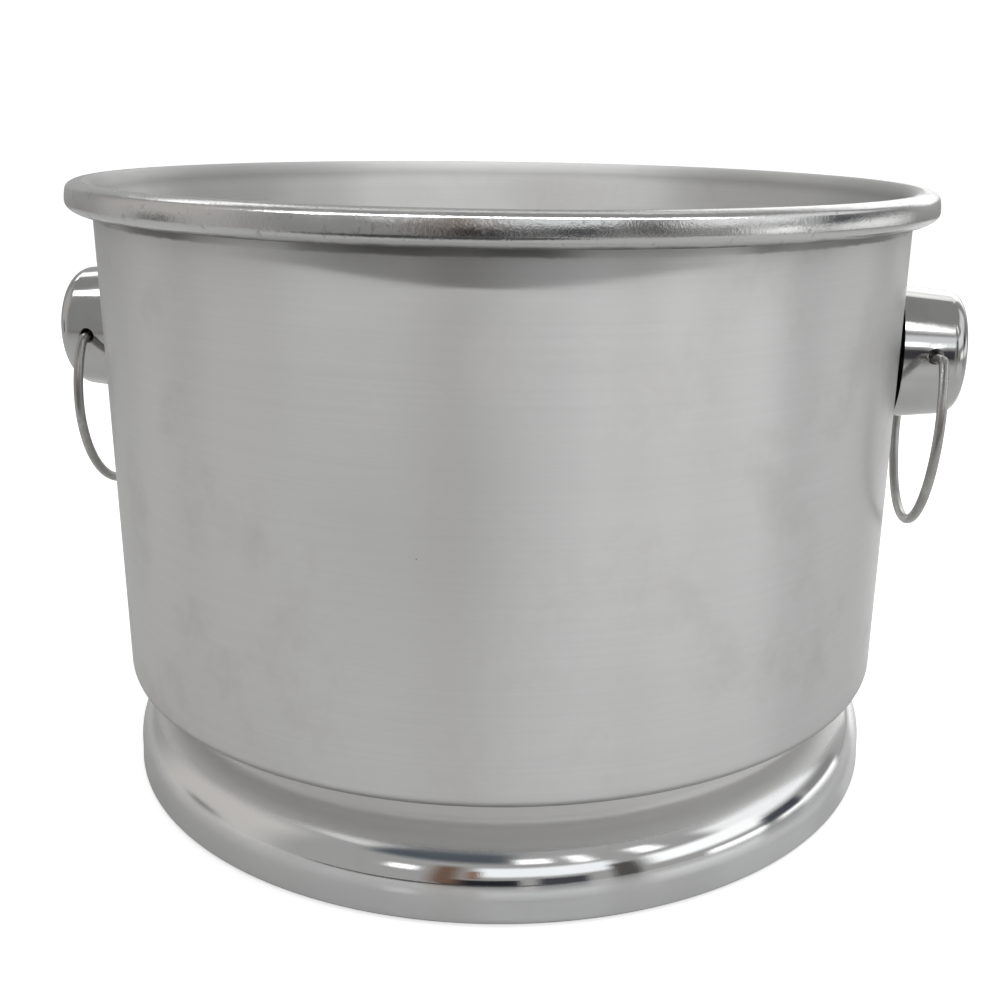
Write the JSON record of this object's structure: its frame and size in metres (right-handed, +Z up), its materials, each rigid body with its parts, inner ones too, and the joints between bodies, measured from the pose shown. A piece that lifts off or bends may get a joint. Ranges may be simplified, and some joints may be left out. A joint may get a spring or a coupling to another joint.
{
  "type": "ice bucket",
  "caption": "Open spun-aluminium bucket with a wired rim, a polished foot ring and drop-ring handles on round bosses.",
  "frame": {"origin": "centre of the foot's resting plane, on the bucket's axis", "axes": "+Z up along the bucket's axis, the two handles on +X and -X"},
  "size_m": [0.3322, 0.3, 0.2125],
  "materials": {
    "satin_aluminium": "satin, spun",
    "polished_aluminium": "mirror polished",
    "boss_aluminium": "turned and polished",
    "rivet_aluminium": "hammered",
    "steel_hoop": "drawn wire",
    "ring_wire": "drawn wire, dull polish",
    "stainless": "bright",
    "rubber_seal": "matt black"
  },
  "bodies": {
    "bucket": {"bucket_shell": "satin_aluminium", "rim_hoop": "steel_hoop", "foot_ring": "polished_aluminium", "foot_rivets": "rivet_aluminium", "right_boss": "boss_aluminium", "right_screw": "stainless", "right_washer": "stainless", "right_seal": "rubber_seal", "left_boss": "boss_aluminium", "left_screw": "stainless", "left_washer": "stainless", "left_seal": "rubber_seal"},
    "right_ring": {"right_drop_ring": "ring_wire"},
    "left_ring": {"left_drop_ring": "ring_wire"}
  },
  "joints": [
    {"name": "right_ring_hinge", "type": "hinge", "parent": "bucket", "child": "right_ring", "pos_m": [0.1523, -0.00006, 0.15415], "axis": [0, -0.9945, 0.1045], "range_deg": [-4.5, 183]},
    {"name": "left_ring_hinge", "type": "hinge", "parent": "bucket", "child": "left_ring", "pos_m": [-0.1523, 0, 0.15415], "axis": [0, 1, 0], "range_deg": [-7.5, 180]}
  ]
}
